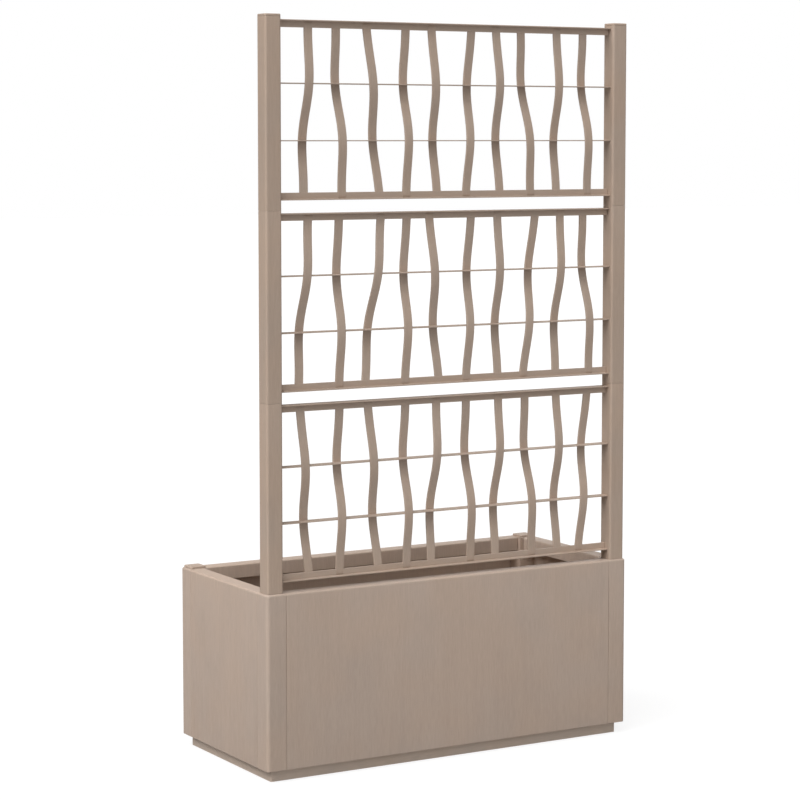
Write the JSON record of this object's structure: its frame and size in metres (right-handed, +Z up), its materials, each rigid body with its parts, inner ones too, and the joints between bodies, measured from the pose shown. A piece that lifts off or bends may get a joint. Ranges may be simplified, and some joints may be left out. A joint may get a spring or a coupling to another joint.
{
  "type": "planter with trellis",
  "caption": "Rectangular floor planter of corner posts and wall panels on a base tray, with a tall lattice trellis standing in its front corner sockets.",
  "frame": {"origin": "centre of the planter's footprint on the floor", "axes": "+Z up; +X along the planter; -Y towards the side where the trellis stands"},
  "size_m": [0.8, 0.36, 1.4013],
  "materials": {
    "wall_plastic": "fine wood-grain texture, satin",
    "upright_plastic": "fine wood-grain texture, satin",
    "lattice_plastic": "fine wood-grain texture, satin",
    "base_plastic": "fine wood-grain texture, satin"
  },
  "bodies": {
    "planter": {"base_tray": "base_plastic", "corner_post_front_left": "wall_plastic", "corner_post_front_right": "wall_plastic", "corner_post_back_left": "wall_plastic", "corner_post_back_right": "wall_plastic", "front_wall": "wall_plastic", "back_wall": "wall_plastic", "left_wall": "wall_plastic", "right_wall": "wall_plastic"},
    "trellis": {"upright_left_lower": "upright_plastic", "upright_left_middle": "upright_plastic", "upright_left_upper": "upright_plastic", "upright_right_lower": "upright_plastic", "upright_right_middle": "upright_plastic", "upright_right_upper": "upright_plastic", "lattice_lower": "lattice_plastic", "lattice_middle": "lattice_plastic", "lattice_upper": "lattice_plastic"},
    "back_left_cap": {"corner_cap_back_left": "wall_plastic"},
    "back_right_cap": {"corner_cap_back_right": "wall_plastic"},
    "left_upright_cap": {"upright_cap_left": "upright_plastic"},
    "right_upright_cap": {"upright_cap_right": "upright_plastic"}
  },
  "joints": [
    {"name": "trellis_lift", "type": "slide", "parent": "planter", "child": "trellis", "axis": [0, 0, 1], "range_m": [0, 0.07]},
    {"name": "back_left_cap_lift", "type": "slide", "parent": "planter", "child": "back_left_cap", "axis": [0, 0, 1], "range_m": [0, 0.03]},
    {"name": "back_right_cap_lift", "type": "slide", "parent": "planter", "child": "back_right_cap", "axis": [0, 0, 1], "range_m": [0, 0.03]},
    {"name": "left_upright_cap_lift", "type": "slide", "parent": "trellis", "child": "left_upright_cap", "axis": [0, 0, 1], "range_m": [0, 0.03]},
    {"name": "right_upright_cap_lift", "type": "slide", "parent": "trellis", "child": "right_upright_cap", "axis": [0, 0, 1], "range_m": [0, 0.03]}
  ]
}
